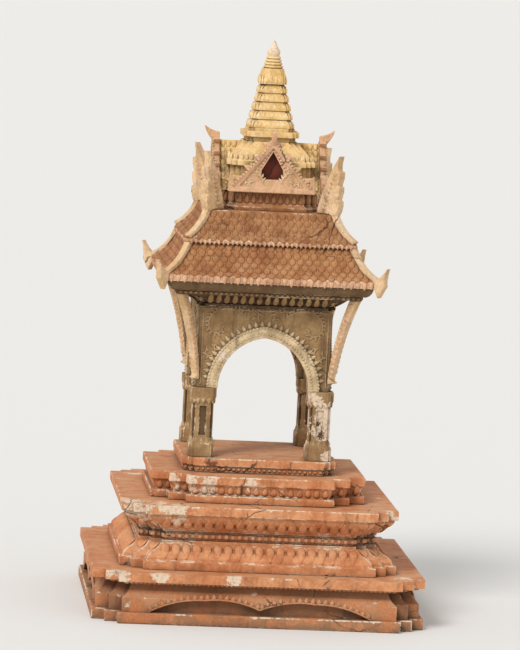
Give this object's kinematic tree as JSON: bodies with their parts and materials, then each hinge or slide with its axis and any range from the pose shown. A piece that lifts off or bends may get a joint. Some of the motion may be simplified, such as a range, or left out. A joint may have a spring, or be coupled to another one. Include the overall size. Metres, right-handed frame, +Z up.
{
  "type": "spirit house",
  "caption": "Weathered cast-cement spirit house: open four-arched pavilion with hollow-curved skirt roofs, gables and a stepped spire on a lotus and lion-leg base.",
  "frame": {"origin": "middle of the underside of the ground board, where the house rests on the ground", "axes": "+Z up along the spire's axis, -Y out of the front arch, +X to the right seen from the front"},
  "size_m": [0.588, 0.588, 1.02],
  "materials": {
    "base_paint": "weathered red-brown paint on cast cement",
    "body_paint": "dusty khaki paint on cast cement",
    "roof_paint": "faded orange-brown paint on cast cement",
    "gold_paint": "dull cream-gold paint on cast cement",
    "ornament_paint": "pale cream paint worn to cement on the edges",
    "field_paint": "dark maroon paint in the recess"
  },
  "bodies": {
    "root": {"ground_board": "base_paint", "lion_leg_plinth": "base_paint", "lotus_foot": "base_paint", "lotus_waist": "base_paint", "lotus_head": "base_paint", "terrace_slab": "base_paint", "house_floor": "base_paint", "arch_front": "body_paint", "arch_right": "body_paint", "arch_back": "body_paint", "arch_left": "body_paint", "coved_frieze": "body_paint", "cornice": "body_paint", "ceiling": "body_paint", "post_back_right": "body_paint", "post_back_left": "body_paint", "post_front_left": "body_paint", "post_front_right": "body_paint", "lower_roof": "roof_paint", "upper_roof": "roof_paint", "gable_drum": "roof_paint", "gable_roof": "gold_paint", "spire_base": "gold_paint", "spire_tiers": "gold_paint", "spire_bell": "gold_paint", "spire_finial": "gold_paint", "eave_brackets": "ornament_paint", "upper_hips": "ornament_paint", "lower_hip_back_right": "ornament_paint", "lower_hip_back_left": "ornament_paint", "lower_hip_front_left": "ornament_paint", "lower_hip_front_right": "ornament_paint", "bargeboard_front": "ornament_paint", "bargeboard_right": "ornament_paint", "bargeboard_back": "ornament_paint", "bargeboard_left": "ornament_paint", "gable_field_front": "field_paint", "gable_field_right": "field_paint", "gable_field_back": "field_paint", "gable_field_left": "field_paint"}
  },
  "joints": []
}
